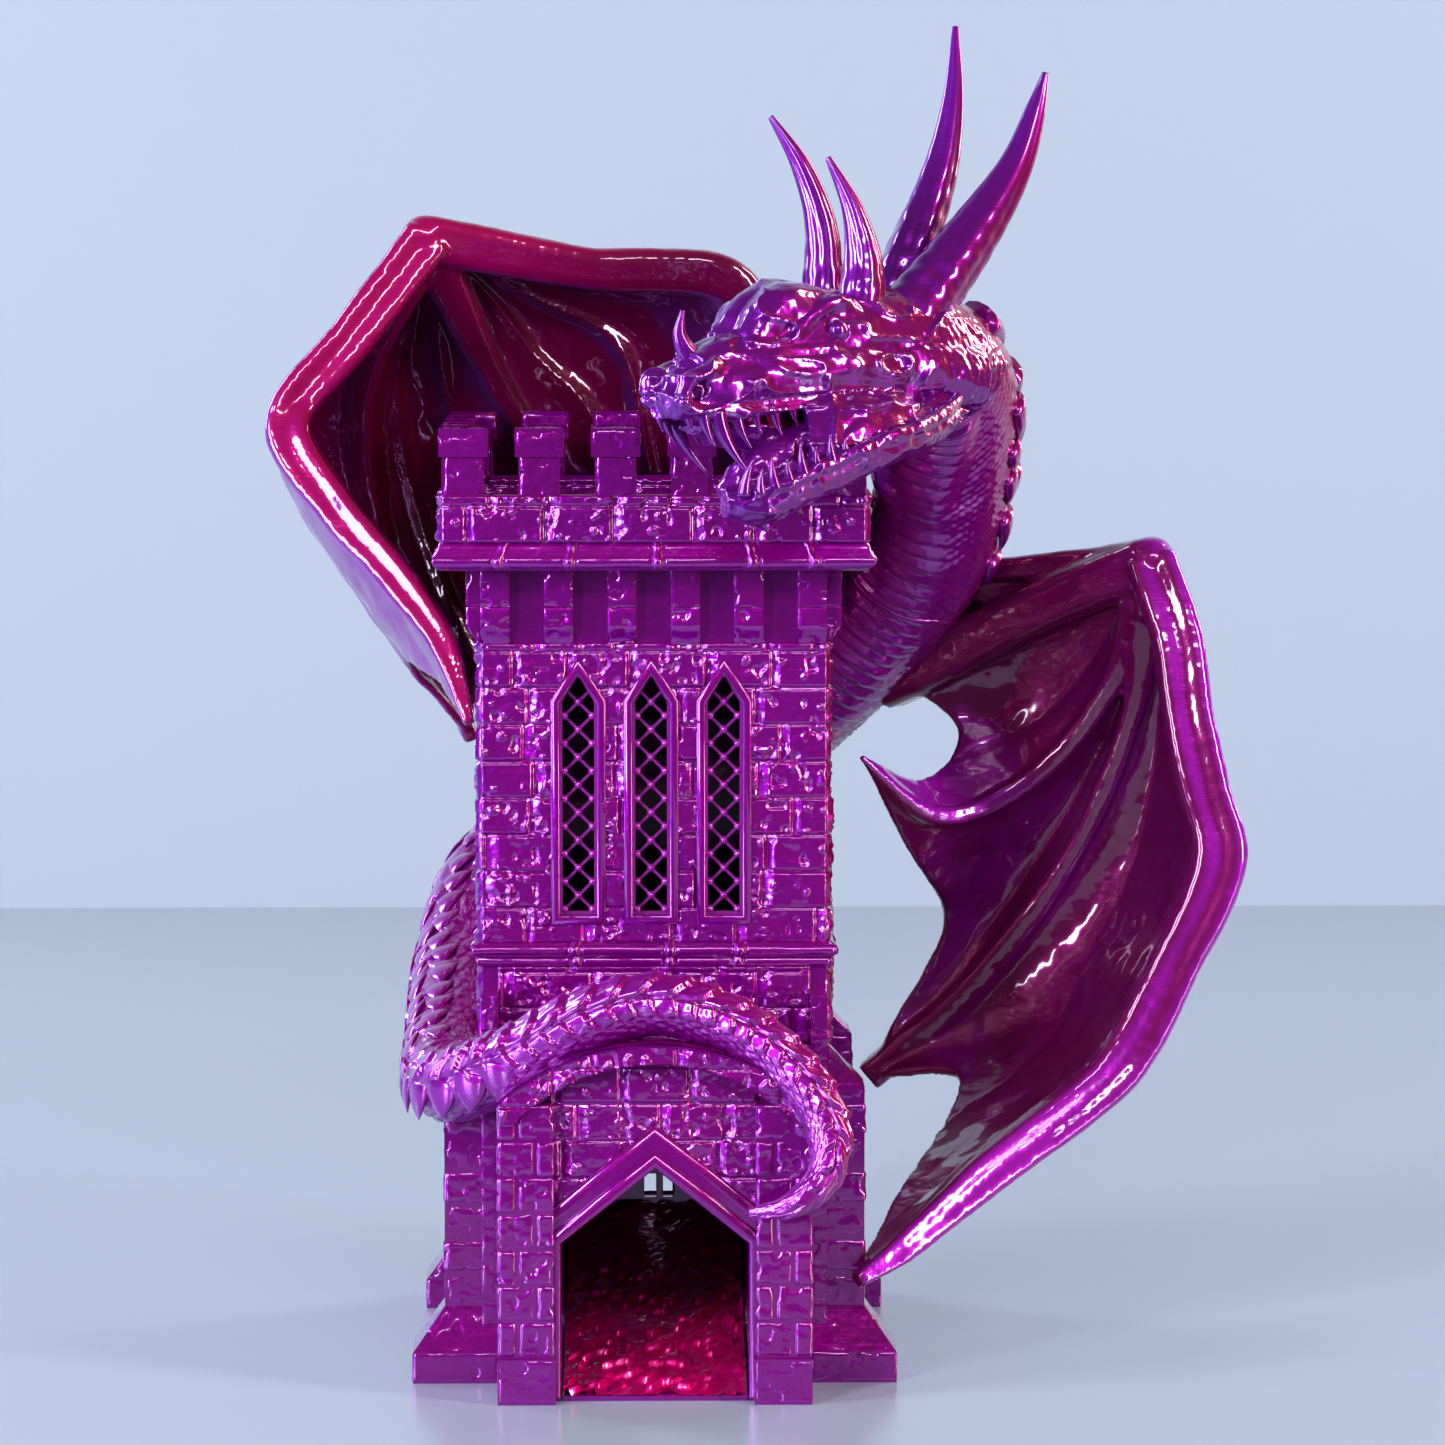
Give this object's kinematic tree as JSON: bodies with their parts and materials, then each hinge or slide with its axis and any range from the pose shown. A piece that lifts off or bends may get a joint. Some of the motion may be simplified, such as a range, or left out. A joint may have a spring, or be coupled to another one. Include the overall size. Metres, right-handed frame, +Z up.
{
  "type": "dice tower",
  "caption": "Castle dice tower with a horned, winged dragon coiled round it: dice drop in between the battlements, fall past baffles and roll out of the gabled porch.",
  "frame": {"origin": "middle of the tower's square footprint, on the underside of its floor plate", "axes": "+Z up; -Y is the way the dice roll out, through the porch; +X is to the right seen from the front"},
  "size_m": [0.2028, 0.1549, 0.2718],
  "materials": {
    "tower_silk": "two-colour silk PLA, magenta and purple, glossy with fine layer lines",
    "dragon_silk": "two-colour silk PLA: purple seen from the left, crimson seen from the right"
  },
  "bodies": {
    "root": {"lower_stage": "tower_silk", "porch": "tower_silk", "exit_ramp": "tower_silk", "upper_stage": "tower_silk", "crown": "tower_silk", "baffle_upper": "tower_silk", "baffle_middle": "tower_silk", "baffle_lower": "tower_silk", "lattice_left": "tower_silk", "lattice_middle": "tower_silk", "lattice_right": "tower_silk", "tail_front": "dragon_silk", "tail_base": "dragon_silk", "torso": "dragon_silk", "neck": "dragon_silk", "skull": "dragon_silk", "lower_jaw": "dragon_silk", "horn_large_far": "dragon_silk", "horn_large_near": "dragon_silk", "horn_small_far": "dragon_silk", "horn_small_near": "dragon_silk", "nose_horn": "dragon_silk", "right_wing": "dragon_silk", "left_wing": "dragon_silk", "left_hind_leg": "dragon_silk", "right_hind_leg": "dragon_silk"}
  },
  "joints": []
}
